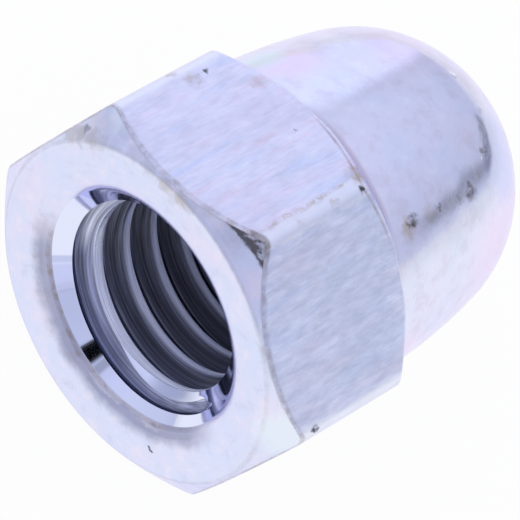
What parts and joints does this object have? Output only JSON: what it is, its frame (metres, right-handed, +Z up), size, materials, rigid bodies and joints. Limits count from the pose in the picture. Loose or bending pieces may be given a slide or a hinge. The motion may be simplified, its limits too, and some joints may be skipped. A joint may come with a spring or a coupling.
{
  "type": "cap nut",
  "caption": "Domed hexagon cap nut with a blind threaded hole, chamfered ends and a bright zinc finish, that closes and covers the end of a bolt or stud.",
  "frame": {"origin": "centre of the bearing face, on the thread's axis", "axes": "+Y along the axis from the bearing face to the dome, +Z up square to one flat of the hexagon, +X to the side through two of its long edges; the nut lies on the opposite flat with its axis level"},
  "size_m": [0.0092, 0.01, 0.008],
  "materials": {
    "zinc": "bright blue-white zinc plating over drawn and turned steel, satin with fine lines, slightly worn and marked"
  },
  "bodies": {
    "root": {"cap_nut": "zinc"}
  },
  "joints": []
}
